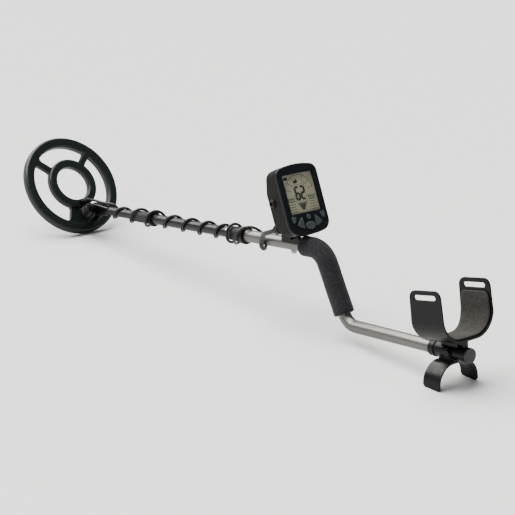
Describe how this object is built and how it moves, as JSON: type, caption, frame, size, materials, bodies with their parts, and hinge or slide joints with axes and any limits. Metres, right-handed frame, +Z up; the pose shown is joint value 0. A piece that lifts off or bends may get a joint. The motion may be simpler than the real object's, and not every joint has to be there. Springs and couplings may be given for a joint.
{
  "type": "metal detector",
  "caption": "Hand-held metal detector: tilting search coil on a telescoping stem, LCD control box, foam S-grip, forearm cradle and stand.",
  "frame": {"origin": "on the floor, under the middle of the detector's bounding box", "axes": "+X back towards the user's elbow, +Y to the user's right, +Z up; the coil's heel and the stand's feet rest on z = 0"},
  "size_m": [1.1575, 0.204, 0.2774],
  "materials": {
    "coil_plastic": "satin, dark green-black",
    "black_gloss": "glossy black moulding",
    "stem_black": "dark anodised, semi-gloss",
    "collar_plastic": "rough grey-black moulding",
    "bush_nylon": "natural nylon",
    "bare_aluminium": "brushed, clear anodised",
    "cable_jacket": "matte black",
    "cable_boot": "matte dark grey",
    "foam": "closed-cell foam",
    "sleeve_plastic": "satin black",
    "cap_plastic": "mid grey",
    "pad_felt": "brown-grey felt",
    "housing_olive": "fine textured olive-grey",
    "bezel_navy": "satin navy-black",
    "key_rubber": "blue-grey silicone",
    "gasket_rubber": "black",
    "window_glass": "clear acrylic",
    "lcd": "khaki-green reflective",
    "board_green": "solder mask",
    "component_black": "black",
    "battery_case": "printed steel case",
    "steel": "zinc plated",
    "copper_wire": "enamelled copper",
    "connector_black": "black nylon"
  },
  "bodies": {
    "handle": {"upper_stem": "bare_aluminium", "foam_grip": "foam", "rod_end_cap": "cap_plastic", "armrest_sleeve": "sleeve_plastic", "armrest_cradle": "sleeve_plastic", "armrest_pad": "pad_felt", "cradle_screws": "steel", "stand": "sleeve_plastic", "stand_screws": "steel", "armrest_bolt": "sleeve_plastic", "armrest_nut": "steel", "upper_collar_bush": "bush_nylon", "mount_bracket": "sleeve_plastic", "bracket_bolt": "steel", "bracket_nut": "steel", "housing_front": "bezel_navy", "housing_back": "housing_olive", "housing_gasket": "gasket_rubber", "housing_screws": "steel", "display_window": "window_glass", "lcd_module": "lcd", "circuit_board": "board_green", "key_switches": "component_black", "battery": "battery_case", "battery_clip": "component_black", "speaker": "component_black", "headphone_jack": "connector_black", "jack_nut": "connector_black", "coil_socket": "connector_black", "cable_plug": "connector_black", "cable_boot": "cable_boot", "cable_upper_wrap": "cable_jacket"},
    "upper_collar": {"upper_lock_collar": "collar_plastic"},
    "middle_tube": {"middle_stem": "stem_black", "lower_collar_bush": "bush_nylon", "cable_middle_wrap": "cable_jacket"},
    "lower_collar": {"lower_lock_collar": "collar_plastic"},
    "lower_tube": {"lower_stem": "stem_black", "stem_tip": "black_gloss", "snap_spring": "steel", "cable_lower_wrap": "cable_jacket", "cable_coil_lead": "cable_jacket"},
    "stem_button": {"snap_button": "steel"},
    "coil": {"coil_shell": "coil_plastic", "rim_bottom_cover": "coil_plastic", "hub_bottom_cover": "coil_plastic", "transmit_winding": "copper_wire", "receive_winding": "copper_wire", "coil_gland": "black_gloss", "friction_washers": "bush_nylon", "clevis_bolt": "steel"},
    "coil_knob": {"clevis_knob": "black_gloss"},
    "door": {"battery_door": "housing_olive"},
    "ring_nut": {"plug_ring_nut": "connector_black"},
    "key_menu": {"key_menu": "key_rubber"},
    "key_power": {"key_power": "key_rubber"},
    "key_minus": {"key_minus": "key_rubber"},
    "key_plus": {"key_plus": "key_rubber"},
    "key_mode": {"key_mode": "key_rubber"},
    "key_pinpoint": {"key_pinpoint": "key_rubber"}
  },
  "joints": [
    {"name": "coil_tilt", "type": "hinge", "parent": "lower_tube", "child": "coil", "pos_m": [-0.42647, 0, 0.0554], "axis": [0, 1, 0], "range_deg": [-55, 90], "deforming": ["cable_coil_lead"]},
    {"name": "knob_turn", "type": "hinge", "parent": "coil", "child": "coil_knob", "pos_m": [-0.42647, 0, 0.0554], "axis": [0, 1, 0], "range_deg": [-270, 0]},
    {"name": "lower_tube_slide", "type": "slide", "parent": "middle_tube", "child": "lower_tube", "axis": [-0.991, 0, -0.134], "range_m": [0, 0.2032], "deforming": ["cable_lower_wrap", "cable_middle_wrap", "snap_button"]},
    {"name": "middle_tube_slide", "type": "slide", "parent": "handle", "child": "middle_tube", "axis": [-0.991, 0, -0.134], "range_m": [0, 0.06], "deforming": ["cable_upper_wrap"]},
    {"name": "upper_collar_turn", "type": "hinge", "parent": "handle", "child": "upper_collar", "pos_m": [0.00638, 0, 0.11544], "axis": [0.991, 0, 0.134], "range_deg": [0, 120]},
    {"name": "lower_collar_turn", "type": "hinge", "parent": "middle_tube", "child": "lower_collar", "pos_m": [-0.27109, 0, 0.07792], "axis": [0.991, 0, 0.134], "range_deg": [0, 120]},
    {"name": "stem_button_press", "type": "slide", "parent": "lower_tube", "child": "stem_button", "axis": [0.0947, 0.7071, -0.7007], "range_m": [0, 0.0025], "stiffness_N_per_m": 900, "deforming": ["snap_spring"]},
    {"name": "battery_door_slide", "type": "slide", "parent": "handle", "child": "door", "axis": [-0.4274, 0, 0.9041], "range_m": [0, 0.03]},
    {"name": "ring_nut_turn", "type": "hinge", "parent": "handle", "child": "ring_nut", "pos_m": [0.14622, -0.033, 0.16591], "axis": [0.9041, 0, 0.4274], "range_deg": [0, 180]},
    {"name": "key_menu_press", "type": "slide", "parent": "handle", "child": "key_menu", "axis": [-0.9041, 0, -0.4274], "range_m": [0, 0.001], "stiffness_N_per_m": 700},
    {"name": "key_power_press", "type": "slide", "parent": "handle", "child": "key_power", "axis": [-0.9041, 0, -0.4274], "range_m": [0, 0.001], "stiffness_N_per_m": 700},
    {"name": "key_minus_press", "type": "slide", "parent": "handle", "child": "key_minus", "axis": [-0.9041, 0, -0.4274], "range_m": [0, 0.001], "stiffness_N_per_m": 700},
    {"name": "key_plus_press", "type": "slide", "parent": "handle", "child": "key_plus", "axis": [-0.9041, 0, -0.4274], "range_m": [0, 0.001], "stiffness_N_per_m": 700},
    {"name": "key_mode_press", "type": "slide", "parent": "handle", "child": "key_mode", "axis": [-0.9041, 0, -0.4274], "range_m": [0, 0.001], "stiffness_N_per_m": 700},
    {"name": "key_pinpoint_press", "type": "slide", "parent": "handle", "child": "key_pinpoint", "axis": [-0.9041, 0, -0.4274], "range_m": [0, 0.001], "stiffness_N_per_m": 700}
  ]
}
